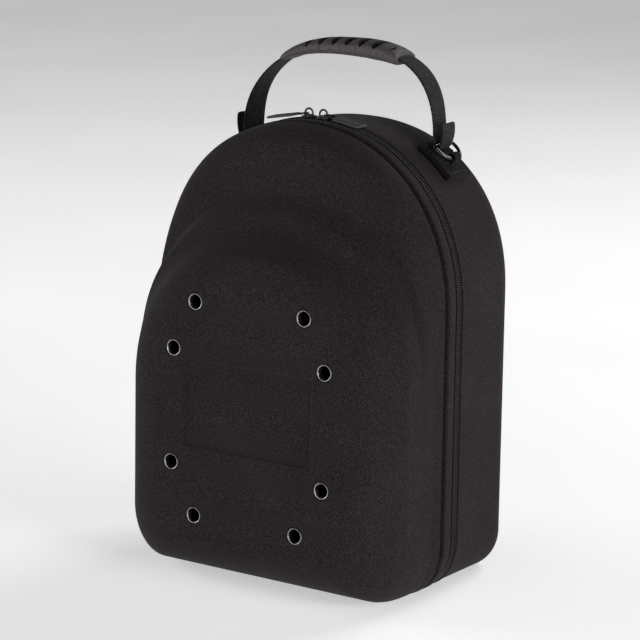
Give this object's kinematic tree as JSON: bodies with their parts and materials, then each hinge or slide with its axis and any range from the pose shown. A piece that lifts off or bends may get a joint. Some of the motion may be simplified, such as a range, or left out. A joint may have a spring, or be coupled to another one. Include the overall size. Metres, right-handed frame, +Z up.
{
  "type": "baseball cap carrier case",
  "caption": "Moulded zip-round carrier case for baseball caps, with a stepped domed front, metal vent eyelets and a webbing top handle with a rubber grip.",
  "frame": {"origin": "middle of the base, on the surface that the case stands on", "axes": "+Z up to the handle, -Y out of the domed front, +X to the right seen from the front"},
  "size_m": [0.252, 0.189, 0.4089],
  "materials": {
    "cloth": "very dark fine knit cloth over moulded foam",
    "webbing": "black ribbed woven webbing",
    "tape": "black woven zipper tape",
    "coil": "black moulded zipper coil",
    "grip_rubber": "dark grey matt moulded rubber",
    "tab_rubber": "grey textured rubber",
    "dark_metal": "gunmetal plating",
    "ring_metal": "dark polished nickel"
  },
  "bodies": {
    "case": {"front_shell": "cloth", "back_shell": "cloth", "zipper_coil": "coil", "zipper_tape_front": "tape", "zipper_tape_back": "tape", "hinge_strip": "tape", "eyelet_1": "dark_metal", "eyelet_2": "dark_metal", "eyelet_3": "dark_metal", "eyelet_4": "dark_metal", "eyelet_5": "dark_metal", "eyelet_6": "dark_metal", "eyelet_7": "dark_metal", "eyelet_8": "dark_metal", "slider_left": "dark_metal", "strap_anchor_left": "webbing", "d_ring_left": "ring_metal", "slider_right": "dark_metal", "strap_anchor_right": "webbing", "d_ring_right": "ring_metal", "handle_strap": "webbing", "handle_grip": "grip_rubber"},
    "left_pull": {"pull_link_left": "dark_metal", "pull_tab_left": "tab_rubber"},
    "right_pull": {"pull_link_right": "dark_metal", "pull_tab_right": "tab_rubber"}
  },
  "joints": [
    {"name": "left_pull_swing", "type": "hinge", "parent": "case", "child": "left_pull", "pos_m": [-0.01, 0.006, 0.3553], "axis": [0, 1, 0], "range_deg": [0, 100]},
    {"name": "right_pull_swing", "type": "hinge", "parent": "case", "child": "right_pull", "pos_m": [0.003, 0.006, 0.3553], "axis": [0, -1, 0], "range_deg": [0, 100]}
  ]
}
